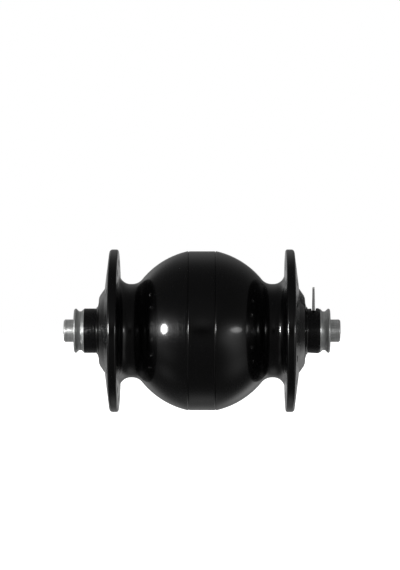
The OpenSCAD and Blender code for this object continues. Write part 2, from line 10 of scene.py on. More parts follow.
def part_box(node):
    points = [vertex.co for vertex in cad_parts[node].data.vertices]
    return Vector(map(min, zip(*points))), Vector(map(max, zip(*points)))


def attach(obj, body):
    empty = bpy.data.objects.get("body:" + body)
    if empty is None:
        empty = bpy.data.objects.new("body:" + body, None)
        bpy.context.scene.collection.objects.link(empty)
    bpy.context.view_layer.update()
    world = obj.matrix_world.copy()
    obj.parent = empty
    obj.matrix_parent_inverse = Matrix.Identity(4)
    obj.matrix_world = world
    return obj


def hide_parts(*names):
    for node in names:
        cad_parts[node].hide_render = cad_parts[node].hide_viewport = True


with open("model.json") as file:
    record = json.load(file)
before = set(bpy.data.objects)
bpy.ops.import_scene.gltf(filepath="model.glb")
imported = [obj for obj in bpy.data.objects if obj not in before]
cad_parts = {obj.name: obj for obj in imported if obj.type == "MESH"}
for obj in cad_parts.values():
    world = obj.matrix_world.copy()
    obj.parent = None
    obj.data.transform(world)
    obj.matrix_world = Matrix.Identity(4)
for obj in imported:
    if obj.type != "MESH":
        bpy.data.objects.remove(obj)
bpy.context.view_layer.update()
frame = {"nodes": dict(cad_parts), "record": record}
scene = bpy.context.scene

MM = 0.001
MICRON = 1e-6
RIGHT, LEFT = 1, -1
QUARTER = 90

# Sizes that the frame's boxes don't give, in millimetres
BALL_R, BALL_OFFSET = 31.9, 1.385
SHELL_WALL = 3.2
NECK_R, FLANGE_FILLET = 18.3, 4.4
FLANGE_ROOT_X, FLANGE_IN_X, FLANGE_OUT_X = 32.3, 32.6, 36.1
RIM_ROUND_IN, RIM_ROUND_OUT = 0.8, 1.2
DISH_X, DISH_R = 37.7, 18.3
BOSS_FOOT_X, BOSS_FOOT_R, BOSS_R = 37.75, 16.8, 13.7
POCKET_R, POCKET_LEDGE = 13.0, 1.5
BEARING_IN_X, BEARING_OUT_X = 29.3, 37.3
CIRCLIP_GROOVE_R = 13.65
SEAM_CHAMFER = 0.28
SLEEVE_R, SLEEVE_BORE_R = 27.9, 25.7
ORING_X, ORING_HALF, ORING_GROOVE_R = 7.325, 0.77, 26.7
SPOKES_PER_FLANGE, SPOKE_CIRCLE_R, SPOKE_HOLE_R = 16, 27.0, 1.3
SPOKE_TURN = {RIGHT: 0.0, LEFT: 11.25}
SPOKE_COUNTERSINK = 0.3
CAP_BORE_R, CAP_FACE_X, CAP_FLARE_FOOT_R = 9.1, 40.1, 13.17
CAP_LIP_TAPER, CAP_LIP_W = 0.35, 0.2
BUSH_BORE_R = 6.52
BLOCK_FOOT_R, BLOCK_CHAMFER = 8.6, 0.5
TAB_FLOOR_Z, TAB_TIP_T, TAB_BEVEL = 7.925, 0.45, 0.9
TAB_W, TAB_PITCH, TAB_TAIL_IN, TAB_HOLE_R = 4.8, 7.2, 0.35, 0.7
TAB_SLOT_W, TAIL_ROOM = 1.8, 0.02
COLLAR_BORE_R, COLLAR_GROOVE_R, COLLAR_GROOVE_W = 5.02, 7.6, 0.9
COLLAR_OUTER_R, COLLAR_ROUND = 8.7, 0.8
STUB_R, STUB_CHAMFER, SKEWER_R = 4.4, 0.5, 2.6
SEAT_R, SHOULDER_R, STATOR_SEAT_R = 5.0, 6.5, 8.0
STATOR_X, STATOR_STOP_W, NUT_OUT_X = 9.0, 2.5, 13.8
LEAD_GROOVE_X, LEAD_GROOVE_W, LEAD_GROOVE_Z, LEAD_D = 15.3, 2.6, 3.65, 1.1
LEAD_SLOT_X, LEAD_WINDOW = 41.3, 3.0
KEY_L, KEY_W, KEY_DEPTH = 12.0, 3.0, 1.8
FIT_GAP = 0.02

# Small roundings of edges, in millimetres
SEAM_FOOT_SOFT, SEAM_EDGE_SOFT = 0.08, 0.12
DISH_SOFT, BOSS_FOOT_SOFT, BOSS_SOFT, POCKET_SOFT = 0.5, 0.3, 0.15, 0.1
CAP_SOFT, CAP_LIP_SOFT = 0.08, 0.04
BUSH_SOFT = 0.15
BLOCK_SOFT, BLOCK_FACE_SOFT = 0.12, 0.08
TAB_SOFT = 0.07
COLLAR_SOFT, COLLAR_RIM_SOFT, COLLAR_FACE_SOFT = 0.12, 0.2, 0.1
STUB_SOFT, SKEWER_SOFT = 0.15, 0.2

# How fine the meshes are, and how far a cutter reaches past the face that it cuts
TURN_STEPS, SMALL_STEPS, HOLE_STEPS = 256, 128, 40
BALL_STEPS, NECK_STEPS, FILLET_STEPS, HOLLOW_STEPS = 48, 20, 24, 32
RIM_IN_STEPS, RIM_OUT_STEPS, FLARE_STEPS, COLLAR_STEPS = 8, 12, 16, 8
SOFT_STEPS, TAB_SOFT_STEPS, FLAT_STEPS = 3, 2, 1
NEAR = 1e-3
MERGE = 1e-5
SHARP_ANGLE = math.radians(28)
PAST = 1.0

# How far a finish strays from its colour, and the shader levels of single finishes
DARK_SHADE, LIGHT_SHADE, METAL_LIGHT_SHADE = 0.8, 1.2, 1.15
SATIN_LEVEL, GLOSS_ROUGHNESS, POLISH_GRAIN = 0.11, 0.11, 0.5
DULL_LEVEL = 0.35
TINNED_METALLIC, ENAMEL_METALLIC = 0.65, 0.9
DRAWN_SCALE, WIRE_SCALE = (1, 1, 0.05), 0.55
# The copper's dark and light colours also serve as painted shade between wire turns and a painted sheen
# on their crests
COPPER_DARK_AND_SHADE, COPPER_LIGHT_AND_SHEEN = (0.30, 0.10, 0.035), (0.78, 0.36, 0.15)

# The studio, in metres, with its sensor in millimetres
CAMERA_AWAY = 1.08
CAMERA_TURN = math.radians(0.38)
VIEW_HEIGHT = 0.2229
SENSOR = 36.0
CENTRE_RIGHT, CENTRE_UP = -0.00079, 0.01788
LAMP_AWAY = 0.9
FLOOR_Z, FLOOR_SIZE, FLOOR_CELLS = -0.125, 14.0, 4
FLOOR_GREY = 0.8
FADE_FROM, FADE_TO, FADE_LEAST = 0.25, 0.9, 0.35
ROOM_LIGHT = 0.55
ROOM_REFLECTION = 0.062

# Paler places of the room that the gloss mirrors: the way to them, how narrow they are, their level
ROOM_GLOWS = (
    # to the left and to the right
    ((-0.98, -0.2, 0.0), 60, 0.6),
    ((-0.80, -0.42, -0.42), 80, 0.15),
    ((-0.69, -0.05, -0.72), 120, 0.15),
    ((1.0, 0.0, 0.0), 30, 0.18),
    ((0.74, -0.20, -0.64), 60, 0.25),
    # in front on the right
    ((0.69, -0.72, -0.10), 80, 0.45),
    ((0.73, -0.68, 0.0), 500, 0.8),
    ((0.82, -0.57, 0.03), 1500, 1.8),
    ((0.84, -0.54, 0.0), 300, 0.25),
    ((0.81, -0.56, -0.16), 60, 0.26),
    ((0.77, -0.50, -0.40), 70, 0.2),
    # behind the hub
    ((0.0, 1.0, 0.0), 80, 0.28),
    ((0.0, 0.72, 0.69), 20, 0.13),
    ((0.0, 0.85, -0.5), 40, 0.14),
    ((0.0, 0.45, -0.89), 60, 0.20),
    # behind on the left
    ((-0.50, 0.84, 0.27), 60, 0.38),
    ((-0.50, 0.84, -0.32), 60, 0.38),
    ((-0.69, 0.64, 0.30), 200, 0.07),
    ((-0.69, 0.64, -0.30), 200, 0.15),
    # behind on the right
    ((0.50, 0.84, -0.2), 60, 0.30),
    ((0.40, 0.75, -0.53), 90, 0.45),
    ((0.69, 0.64, 0.33), 150, 0.14),
    ((0.69, 0.64, -0.33), 150, 0.9),
    # above the camera, and the camera itself, which is darker than the room
    ((0.0, -1.0, 0.2), 12, 0.05),
    ((0.0, -0.98, 0.21), 250, 0.12),
    ((0.0, -1.0, 0.02), 240, -0.1),
)


def reach(node):
    """Lowest x, highest x and highest z of a CAD node. The last is a turned node's radius."""
    low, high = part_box(node)
    return low.x / MM, high.x / MM, high.z / MM


# Sizes from the frame, in millimetres. A collar's foot is as wide as the bush
SEAM_X, BOSS_END_X, FLANGE_R = reach("right_shell")
_, SLEEVE_X, BAND_R = reach("flux_ring")
CAP_IN_X, CAP_LIP_X, CAP_R = reach("right_dust_cap")
_, COLLAR_IN_X, BLOCK_R = reach("connector_block")
_, FACE_X, BUSH_R = reach("right_end_collar")
_, AXLE_END_X, STATOR_STOP_R = reach("axle")
TAB_X0, TAB_X1, TAB_TOP = reach("rear_connector_tab")
TAB_X, TAB_T = (TAB_X0 + TAB_X1) / 2, TAB_X1 - TAB_X0
TAB_TAIL_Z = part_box("rear_connector_tab")[0].z / MM


class Lathe:
    """An outline of places along the axle and radii, in millimetres, that is turned about it."""

    def __init__(self, x, r, soft=0.0):
        self.bm = bmesh.new()
        self.corners = []
        self.start = self.tip = self.bm.verts.new((x, 0, r))
        self.soften(x, r, soft)

    def soften(self, x, r, soft):
        """Notes a corner that is rounded once the outline is turned."""
        if soft:
            self.corners.append((x, r, soft))

    def line(self, x, r, soft=0.0):
        """A straight stretch to a corner, which is rounded by a small bevel."""
        end = self.bm.verts.new((x, 0, r))
        self.bm.edges.new((self.tip, end))
        self.tip = end
        self.soften(x, r, soft)
        return self

    def arc(self, x, r, degrees, steps):
        """A round stretch about a centre, clockwise where the angle is positive."""
        turned = bmesh.ops.spin(
            self.bm, geom=[self.tip], cent=(x, 0, r), axis=(0, 1, 0),
            angle=math.radians(degrees), steps=steps,
        )
        self.tip = next(v for v in turned["geom_last"] if isinstance(v, bmesh.types.BMVert))
        return self

    def turn(self, steps):
        """The closed solid of revolution."""
        bm = self.bm
        bm.edges.new((self.tip, self.start))
        bmesh.ops.spin(
            bm, geom=bm.verts[:] + bm.edges[:], cent=(0, 0, 0), axis=(1, 0, 0),
            angle=math.tau, steps=steps, use_merge=True,
        )
        bmesh.ops.remove_doubles(bm, verts=bm.verts, dist=MERGE)
        bmesh.ops.recalc_face_normals(bm, faces=bm.faces)
        for x, r, soft in self.corners:
            rings = [e for e in bm.edges if all(on_circle(v, x, r) for v in e.verts)]
            bevel(bm, rings, soft, SOFT_STEPS)
        return bm


def on_circle(vert, x, r):
    """Whether a vertex lies on a circle about the axle."""
    return abs(vert.co.x - x) < NEAR and abs(math.hypot(vert.co.y, vert.co.z) - r) < NEAR


def bevel(bm, edges, width, steps, clamp=False):
    """Rounds edges, or cuts them flat where there is a single step."""
    bmesh.ops.bevel(
        bm, geom=edges, offset=width, offset_type="OFFSET", affect="EDGES",
        segments=steps, profile=0.5, material=-1, clamp_overlap=clamp,
    )


def on_side(bm, side):
    """A right-hand piece as it is, or its mirror image for the left."""
    if side == LEFT:
        bmesh.ops.scale(bm, vec=(LEFT, 1, 1), verts=bm.verts)
        bmesh.ops.recalc_face_normals(bm, faces=bm.faces)
    return bm


def block(low, high):
    """A box from one corner to the other."""
    bm = bmesh.new()
    bmesh.ops.create_cube(bm, size=1)
    size = [b - a for a, b in zip(low, high)]
    middle = [(a + b) / 2 for a, b in zip(low, high)]
    bmesh.ops.scale(bm, vec=size, verts=bm.verts)
    bmesh.ops.translate(bm, vec=middle, verts=bm.verts)
    return bm


def carve(body, tool, operation="DIFFERENCE"):
    """Cuts one bmesh with another, or joins the two."""
    objects = []
    for bm in (body, tool):
        mesh = bpy.data.meshes.new("carving")
        bm.to_mesh(mesh)
        bm.free()
        objects.append(bpy.data.objects.new("carving", mesh))
        scene.collection.objects.link(objects[-1])
    work, cutter = objects
    modifier = work.modifiers.new("carve", "BOOLEAN")
    modifier.operation = operation
    modifier.solver = "EXACT"
    modifier.object = cutter
    result = bmesh.new()
    result.from_object(work, bpy.context.evaluated_depsgraph_get())
    for item in objects:
        mesh = item.data
        bpy.data.objects.remove(item)
        bpy.data.meshes.remove(mesh)
    return result


# Pieces

def shell_half(side):
    """Half of the shell: ball, neck, flange and boss outside, bearing pocket and hollow inside."""
    seam_r = math.sqrt(BALL_R ** 2 - (SEAM_X + BALL_OFFSET) ** 2)
    chamfer_x = SEAM_X + SEAM_CHAMFER
    ball_start = math.degrees(math.asin((chamfer_x + BALL_OFFSET) / BALL_R))
    neck_reach = FLANGE_ROOT_X + BALL_OFFSET
    neck_sum = neck_reach + BALL_R - NECK_R
    neck_rest = NECK_R ** 2 + neck_reach ** 2 - BALL_R ** 2
    neck_round = neck_sum - math.sqrt(neck_sum ** 2 - neck_rest)
    neck_x, neck_r = FLANGE_ROOT_X - neck_round, NECK_R + neck_round
    ball_end = math.degrees(math.atan2(neck_x + BALL_OFFSET, neck_r))
    fillet_x, fillet_r = FLANGE_ROOT_X - FLANGE_FILLET, NECK_R + FLANGE_FILLET
    hollow_r = BALL_R - SHELL_WALL
    ledge_r = POCKET_R - POCKET_LEDGE
    hollow_start = math.degrees(math.asin(ledge_r / hollow_r))
    hollow_x = hollow_r * math.cos(math.radians(hollow_start)) - BALL_OFFSET
    hollow_end = math.degrees(math.acos((SLEEVE_X + FIT_GAP + BALL_OFFSET) / hollow_r))
    sleeve_seat_r = SLEEVE_R + FIT_GAP

    outline = Lathe(SEAM_X, sleeve_seat_r)
    outline.line(SEAM_X, seam_r - SEAM_CHAMFER, soft=SEAM_FOOT_SOFT)
    outline.line(chamfer_x, BALL_R * math.cos(math.radians(ball_start)), soft=SEAM_EDGE_SOFT)
    outline.arc(-BALL_OFFSET, 0, ball_end - ball_start, BALL_STEPS)
    outline.arc(neck_x, neck_r, -ball_end, NECK_STEPS)
    outline.line(fillet_x, NECK_R)
    outline.arc(fillet_x, fillet_r, -QUARTER, FILLET_STEPS)
    outline.line(FLANGE_IN_X, FLANGE_R - RIM_ROUND_IN)
    outline.arc(FLANGE_IN_X + RIM_ROUND_IN, FLANGE_R - RIM_ROUND_IN, QUARTER, RIM_IN_STEPS)
    outline.line(FLANGE_OUT_X - RIM_ROUND_OUT, FLANGE_R)
    outline.arc(FLANGE_OUT_X - RIM_ROUND_OUT, FLANGE_R - RIM_ROUND_OUT, QUARTER, RIM_OUT_STEPS)
    outline.line(DISH_X, DISH_R, soft=DISH_SOFT)
    outline.line(BOSS_FOOT_X, BOSS_FOOT_R, soft=BOSS_FOOT_SOFT)
    outline.line(BOSS_END_X, BOSS_R, soft=BOSS_SOFT)
    outline.line(BOSS_END_X, POCKET_R, soft=POCKET_SOFT)
    outline.line(CAP_IN_X, POCKET_R)
    outline.line(CAP_IN_X, CIRCLIP_GROOVE_R)
    outline.line(BEARING_OUT_X, CIRCLIP_GROOVE_R)
    outline.line(BEARING_OUT_X, POCKET_R)
    outline.line(BEARING_IN_X, POCKET_R)
    outline.line(BEARING_IN_X, ledge_r)
    outline.line(hollow_x, ledge_r)
    outline.arc(-BALL_OFFSET, 0, hollow_start - hollow_end, HOLLOW_STEPS)
    outline.line(SLEEVE_X + FIT_GAP, sleeve_seat_r)
    return on_side(carve(outline.turn(TURN_STEPS), spoke_drills(SPOKE_TURN[side])), side)


def spoke_drills(turn):
    """The countersunk drills of a flange's spoke holes, from the first one's angle below the front."""
    taper = (FLANGE_IN_X - FLANGE_ROOT_X) * SPOKE_CIRCLE_R / FLANGE_R
    inner_x = FLANGE_ROOT_X + taper / 2
    rim_r = FLANGE_R - RIM_ROUND_OUT
    outer_x = FLANGE_OUT_X + (DISH_X - FLANGE_OUT_X) * (rim_r - SPOKE_CIRCLE_R) / (rim_r - DISH_R)
    wide_r = SPOKE_HOLE_R + SPOKE_COUNTERSINK + PAST
    outline = Lathe(inner_x - PAST, 0)
    outline.line(inner_x - PAST, wide_r)
    outline.line(inner_x + SPOKE_COUNTERSINK, SPOKE_HOLE_R)
    outline.line(outer_x - SPOKE_COUNTERSINK, SPOKE_HOLE_R)
    outline.line(outer_x + PAST, wide_r)
    outline.line(outer_x + PAST, 0)
    bm = outline.turn(HOLE_STEPS)
    bmesh.ops.translate(bm, vec=(0, -SPOKE_CIRCLE_R, 0), verts=bm.verts)
    first = Matrix.Rotation(math.radians(turn), 3, "X")
    bmesh.ops.rotate(bm, cent=(0, 0, 0), matrix=first, verts=bm.verts)
    others = SPOKES_PER_FLANGE - 1
    bmesh.ops.spin(
        bm, geom=bm.verts[:] + bm.edges[:] + bm.faces[:], cent=(0, 0, 0), axis=(1, 0, 0),
        angle=math.tau * others / SPOKES_PER_FLANGE, steps=others, use_duplicate=True,
    )
    return bm


def band():
    """The flux ring: the band between the seams, and the sleeve under the shell halves."""
    edge_x, edge_r = SEAM_X - SEAM_CHAMFER, BAND_R - SEAM_CHAMFER
    outline = Lathe(-SEAM_X, SLEEVE_R)
    outline.line(-SEAM_X, edge_r, soft=SEAM_FOOT_SOFT)
    outline.line(-edge_x, BAND_R, soft=SEAM_EDGE_SOFT)
    outline.line(edge_x, BAND_R, soft=SEAM_EDGE_SOFT)
    outline.line(SEAM_X, edge_r, soft=SEAM_FOOT_SOFT)
    outline.line(SEAM_X, SLEEVE_R)
    ring_groove(outline, RIGHT)
    outline.line(SLEEVE_X, SLEEVE_R)
    outline.line(SLEEVE_X, SLEEVE_BORE_R)
    outline.line(-SLEEVE_X, SLEEVE_BORE_R)
    outline.line(-SLEEVE_X, SLEEVE_R)
    ring_groove(outline, LEFT)
    return outline.turn(TURN_STEPS)


def ring_groove(outline, side):
    """A groove for an O-ring, drawn from left to right."""
    low, high = side * ORING_X - ORING_HALF, side * ORING_X + ORING_HALF
    outline.line(low, SLEEVE_R)
    outline.line(low, ORING_GROOVE_R)
    outline.line(high, ORING_GROOVE_R)
    outline.line(high, SLEEVE_R)


def dust_cap(side):
    """A pressed-in cap with a flat rim and a hollow flare up to the lip round the bush."""
    flare_h = CAP_LIP_X - CAP_LIP_TAPER - CAP_FACE_X
    flare_w = CAP_FLARE_FOOT_R - CAP_BORE_R - CAP_LIP_W
    flare_r = (flare_h ** 2 + flare_w ** 2) / (2 * flare_h)
    flare_turn = math.degrees(math.asin(flare_w / flare_r))
    outline = Lathe(CAP_IN_X, CAP_BORE_R)
    outline.line(CAP_IN_X, CAP_R)
    outline.line(CAP_FACE_X, CAP_R, soft=CAP_SOFT)
    outline.line(CAP_FACE_X, CAP_FLARE_FOOT_R)
    outline.arc(CAP_FACE_X + flare_r, CAP_FLARE_FOOT_R, -flare_turn, FLARE_STEPS)
    outline.line(CAP_LIP_X, CAP_BORE_R, soft=CAP_LIP_SOFT)
    return on_side(outline.turn(SMALL_STEPS), side)


def bush():
    """The plain bush between the left dust cap and the left collar."""
    outline = Lathe(CAP_IN_X, BUSH_BORE_R)
    outline.line(CAP_IN_X, BUSH_R, soft=BUSH_SOFT)
    outline.line(COLLAR_IN_X, BUSH_R, soft=BUSH_SOFT)
    outline.line(COLLAR_IN_X, BUSH_BORE_R)
    return on_side(outline.turn(SMALL_STEPS), LEFT)


def connector_housing():
    """The connector block, with the slot and the pockets that the tabs stand in."""
    outline = Lathe(CAP_IN_X, BUSH_BORE_R)
    outline.line(CAP_IN_X, BLOCK_FOOT_R)
    outline.line(CAP_LIP_X, BLOCK_FOOT_R)
    outline.line(COLLAR_IN_X - BLOCK_CHAMFER, BLOCK_R, soft=BLOCK_SOFT)
    outline.line(COLLAR_IN_X, BLOCK_R - BLOCK_CHAMFER, soft=BLOCK_FACE_SOFT)
    outline.line(COLLAR_IN_X, BUSH_BORE_R)
    half, past_r = TAB_SLOT_W / 2, BLOCK_R + PAST
    slot = block((TAB_X - half, -past_r, TAB_FLOOR_Z), (TAB_X + half, past_r, past_r))
    bm = carve(outline.turn(SMALL_STEPS), slot)
    for side in (LEFT, RIGHT):
        bm = carve(bm, tab_tail(side, TAIL_ROOM))
    window = LEAD_WINDOW / 2
    return carve(bm, block((LEAD_SLOT_X, -window, 0), (TAB_X + LEAD_D, window, TAB_TAIL_Z)))


def tab_tail(side, room):
    """The narrow foot of a tab, or with some room round it the pocket that it stands in."""
    ys = sorted((side * (TAB_TAIL_IN - room), side * (TAB_PITCH / 2 + room)))
    top = TAB_FLOOR_Z + (PAST if room else TAB_T / 2)
    half = TAB_T / 2 + room
    return block((TAB_X - half, ys[0], TAB_TAIL_Z - room), (TAB_X + half, ys[1], top))


def connector_tab(side):
    """A blade that thins towards its bevelled tip, with a detent hole and a tail."""
    middle, half_w, half_t = side * TAB_PITCH / 2, TAB_W / 2, TAB_T / 2
    low = (TAB_X - half_t, middle - half_w, TAB_FLOOR_Z)
    high = (TAB_X + half_t, middle + half_w, TAB_TOP)
    bm = block(low, high)
    tip = [v for v in bm.verts if v.co.z > TAB_TOP - NEAR]
    tip_edges = [e for e in bm.edges if all(v in tip for v in e.verts)]
    corners = [e for e in tip_edges if abs(e.verts[0].co.y - e.verts[1].co.y) < NEAR]
    to_tab = Matrix.Translation((-TAB_X, 0, 0))
    bmesh.ops.scale(bm, vec=(TAB_TIP_T / TAB_T, 1, 1), space=to_tab, verts=tip)
    bevel(bm, corners, TAB_BEVEL, FLAT_STEPS)
    bevel(bm, bm.edges[:], TAB_SOFT, TAB_SOFT_STEPS, clamp=True)
    bm = carve(bm, tab_tail(side, 0), "UNION")
    drill = Lathe(-TAB_T, 0)
    drill.line(-TAB_T, TAB_HOLE_R).line(TAB_T, TAB_HOLE_R).line(TAB_T, 0)
    hole = drill.turn(HOLE_STEPS)
    bmesh.ops.translate(hole, vec=(TAB_X, middle, (TAB_FLOOR_Z + TAB_TOP) / 2), verts=hole.verts)
    return carve(bm, hole)


def end_collar(side):
    """A turned collar with a V groove and a rounded outer corner."""
    groove_x = (COLLAR_IN_X + FACE_X - COLLAR_ROUND) / 2
    round_x = FACE_X - COLLAR_ROUND
    outline = Lathe(COLLAR_IN_X, COLLAR_BORE_R)
    outline.line(COLLAR_IN_X, BUSH_R, soft=COLLAR_SOFT)
    outline.line(groove_x - COLLAR_GROOVE_W / 2, COLLAR_GROOVE_R, soft=COLLAR_SOFT)
    outline.line(groove_x + COLLAR_GROOVE_W / 2, COLLAR_GROOVE_R, soft=COLLAR_SOFT)
    outline.line(round_x, COLLAR_OUTER_R, soft=COLLAR_RIM_SOFT)
    outline.arc(round_x, COLLAR_OUTER_R - COLLAR_ROUND, QUARTER, COLLAR_STEPS)
    outline.line(FACE_X, COLLAR_BORE_R, soft=COLLAR_FACE_SOFT)
    return on_side(outline.turn(SMALL_STEPS), side)


def hollow_axle():
    """The axle: bearing seats, the stator's seat and stop, the leads' groove and the key's slot."""
    outline = Lathe(-AXLE_END_X, SKEWER_R, soft=SKEWER_SOFT)
    outline.line(-AXLE_END_X, STUB_R - STUB_CHAMFER, soft=STUB_SOFT)
    outline.line(-AXLE_END_X + STUB_CHAMFER, STUB_R, soft=STUB_SOFT)
    outline.line(-FACE_X, STUB_R)
    outline.line(-FACE_X, SEAT_R)
    outline.line(-BEARING_IN_X, SEAT_R)
    outline.line(-BEARING_IN_X, SHOULDER_R)
    outline.line(-STATOR_X - STATOR_STOP_W, SHOULDER_R)
    outline.line(-STATOR_X - STATOR_STOP_W, STATOR_STOP_R)
    outline.line(-STATOR_X, STATOR_STOP_R)
    outline.line(-STATOR_X, STATOR_SEAT_R)
    outline.line(NUT_OUT_X, STATOR_SEAT_R)
    outline.line(NUT_OUT_X, SHOULDER_R)
    outline.line(BEARING_IN_X, SHOULDER_R)
    outline.line(BEARING_IN_X, SEAT_R)
    outline.line(FACE_X, SEAT_R)
    outline.line(FACE_X, STUB_R)
    outline.line(AXLE_END_X - STUB_CHAMFER, STUB_R, soft=STUB_SOFT)
    outline.line(AXLE_END_X, STUB_R - STUB_CHAMFER, soft=STUB_SOFT)
    outline.line(AXLE_END_X, SKEWER_R, soft=SKEWER_SOFT)
    half = LEAD_GROOVE_W / 2
    groove = block((LEAD_GROOVE_X, -half, LEAD_GROOVE_Z), (TAB_X + LEAD_D, half, STATOR_STOP_R))
    key_x, key_y = KEY_L / 2, KEY_W / 2
    slot = block((-key_x, -key_y, -STATOR_STOP_R), (key_x, key_y, KEY_DEPTH - STATOR_SEAT_R))
    return carve(carve(outline.turn(SMALL_STEPS), groove), slot)


# Finishes

class Wire:
    """A socket in a node tree. Arithmetic on it adds Math nodes."""

    def __init__(self, tree, socket):
        self.tree = tree
        self.socket = socket

    def math(self, operation, first, second):
        return self.tree.node("ShaderNodeMath", {"operation": operation}, {0: first, 1: second})

    def __add__(self, other):
        return self.math("ADD", self, other)

    def __radd__(self, other):
        return self.math("ADD", other, self)

    def __sub__(self, other):
        return self.math("SUBTRACT", self, other)

    def __rsub__(self, other):
        return self.math("SUBTRACT", other, self)

    def __mul__(self, other):
        return self.math("MULTIPLY", self, other)

    def __rmul__(self, other):
        return self.math("MULTIPLY", other, self)

    def __pow__(self, other):
        return self.math("POWER", self, other)

    def __rpow__(self, other):
        return self.math("POWER", other, self)


class Tree:
    """A node tree that is being filled, of a material or of the world."""

    def __init__(self, owner):
        owner.use_nodes = True
        self.tree = owner.node_tree
        self.tree.nodes.clear()

    def node(self, kind, settings=None, inputs=None, output=0):
        """Any node: its settings first, then the values or links of its sockets."""
        made = self.tree.nodes.new(kind)
        for name, value in (settings or {}).items():
            setattr(made, name, value)
        for name, value in (inputs or {}).items():
            if isinstance(value, Wire):
                self.tree.links.new(value.socket, made.inputs[name])
            else:
                made.inputs[name].default_value = value
        return Wire(self, made.outputs[output]) if made.outputs else None

    def place(self):
        """Object coordinates in millimetres: the vector, x, and the distance from the axle."""
        metres = self.node("ShaderNodeTexCoord", output="Object")
        inputs = {0: metres, "Scale": 1 / MM}
        vector = self.node("ShaderNodeVectorMath", {"operation": "SCALE"}, inputs)
        split = "ShaderNodeSeparateXYZ"
        x, y, z = (self.node(split, inputs={0: vector}, output=axis) for axis in "XYZ")
        return vector, x, (y * y + z * z) ** 0.5

    def noise(self, where, scale, detail):
        """Cloudy noise over the surface, about 0.5, with its scale per millimetre."""
        inputs = {"Vector": where, "Scale": scale, "Detail": detail}
        return self.node("ShaderNodeTexNoise", inputs=inputs)

    def lines(self, along, scale, detail):
        """Noise that changes along one number only, such as tool marks."""
        inputs = {"W": along, "Scale": scale, "Detail": detail}
        return self.node("ShaderNodeTexNoise", {"noise_dimensions": "1D"}, inputs)

    def tint(self, mask, dark, light):
        """A colour between two, by a mask."""
        inputs = {"Factor": mask, "A": (*dark, 1), "B": (*light, 1)}
        return self.node("ShaderNodeMix", {"data_type": "RGBA"}, inputs, output=2)

    def mottle(self, mask, colour, light):
        """A colour that strays, by a mask, to a darker and a lighter shade of itself."""
        return self.tint(mask, [DARK_SHADE * c for c in colour], [light * c for c in colour])

    def bump(self, height, microns, normal=None):
        """A normal that a height of so many microns tilts, on top of another normal if there is one."""
        inputs = {"Height": height, "Distance": microns * MICRON}
        if normal:
            inputs["Normal"] = normal
        return self.node("ShaderNodeBump", inputs=inputs)

    def ray(self, kind):
        """1 for rays of one kind, else 0."""
        return self.node("ShaderNodeLightPath", output=f"Is {kind} Ray")

    def principled(self, inputs):
        """The material's surface as one Principled shader."""
        self.surface(self.node("ShaderNodeBsdfPrincipled", inputs=inputs))

    def surface(self, shader):
        """The material's surface from any shader."""
        self.node("ShaderNodeOutputMaterial", inputs={"Surface": shader})


def material(name):
    """A new material and its empty node tree."""
    made = bpy.data.materials.new(name)
    return made, Tree(made)


def gloss_black(name, colour, roughness, marks_microns):
    """Black anodised metal under a clear polish: a satin ground with lathe lines, and a sharp gloss."""
    made, tree = material(name)
    where, x, r = tree.place()
    cloud = tree.noise(where, scale=0.25, detail=3)
    marks = tree.lines(x + r, scale=4.0, detail=3)
    grain = tree.noise(where, scale=2.0, detail=2)
    tree.principled({
        "Base Color": tree.mottle(cloud, colour, LIGHT_SHADE),
        "Roughness": roughness + 0.06 * cloud,
        "Specular IOR Level": SATIN_LEVEL,
        "Normal": tree.bump(grain, POLISH_GRAIN, tree.bump(marks, marks_microns)),
        "Coat Weight": 1.0,
        "Coat Roughness": GLOSS_ROUGHNESS,
    })
    return made


def turned_steel(name, colour, roughness, marks_microns):
    """Plated steel: a dull film over lathe marks, whose bright crests spread light along the axle."""
    made, tree = material(name)
    where, x, r = tree.place()
    cloud = tree.noise(where, scale=0.6, detail=3)
    fine = tree.lines(x + r, scale=8.0, detail=2)
    coarse = tree.lines(x + r, scale=1.5, detail=2)
    film = 0.7 * coarse + 0.3 * cloud
    tree.principled({
        "Base Color": tree.mottle(film, colour, METAL_LIGHT_SHADE),
        "Metallic": 1.0 - 0.4 * film,
        "Roughness": roughness + 0.1 * film,
        "Normal": tree.bump(0.9 * fine + 0.1 * coarse, marks_microns),
    })
    return made


def moulded(name, colour, roughness, grain_microns):
    """Moulded plastic or rubber with a fine grain."""
    made, tree = material(name)
    where, _, _ = tree.place()
    cloud = tree.noise(where, scale=0.5, detail=3)
    grain = tree.noise(where, scale=9.0, detail=3)
    tree.principled({
        "Base Color": tree.mottle(cloud, colour, LIGHT_SHADE),
        "Roughness": roughness + 0.1 * grain,
        "Normal": tree.bump(grain, grain_microns),
    })
    return made


def turned_plastic(name, colour, roughness, marks_microns):
    """Black plastic that was turned to size: fine tool marks under a dull polish."""
    made, tree = material(name)
    where, x, r = tree.place()
    cloud = tree.noise(where, scale=0.5, detail=3)
    marks = tree.lines(x + r, scale=6.0, detail=2)
    tree.principled({
        "Base Color": tree.mottle(cloud, colour, LIGHT_SHADE),
        "Roughness": roughness + 0.08 * cloud,
        "Specular IOR Level": DULL_LEVEL,
        "Normal": tree.bump(marks, marks_microns),
    })
    return made


def sheet_metal(name, colour, roughness, streak_microns):
    """Tinned sheet, drawn along its length."""
    made, tree = material(name)
    where, _, _ = tree.place()
    cloud = tree.noise(where, scale=1.2, detail=3)
    drawn = tree.node("ShaderNodeMapping", inputs={"Vector": where, "Scale": DRAWN_SCALE})
    streaks = tree.noise(drawn, scale=12.0, detail=2)
    tree.principled({
        "Base Color": tree.mottle(0.5 * cloud + 0.5 * streaks, colour, METAL_LIGHT_SHADE),
        "Metallic": TINNED_METALLIC,
        "Roughness": roughness + 0.15 * streaks,
        "Normal": tree.bump(streaks, streak_microns),
    })
    return made


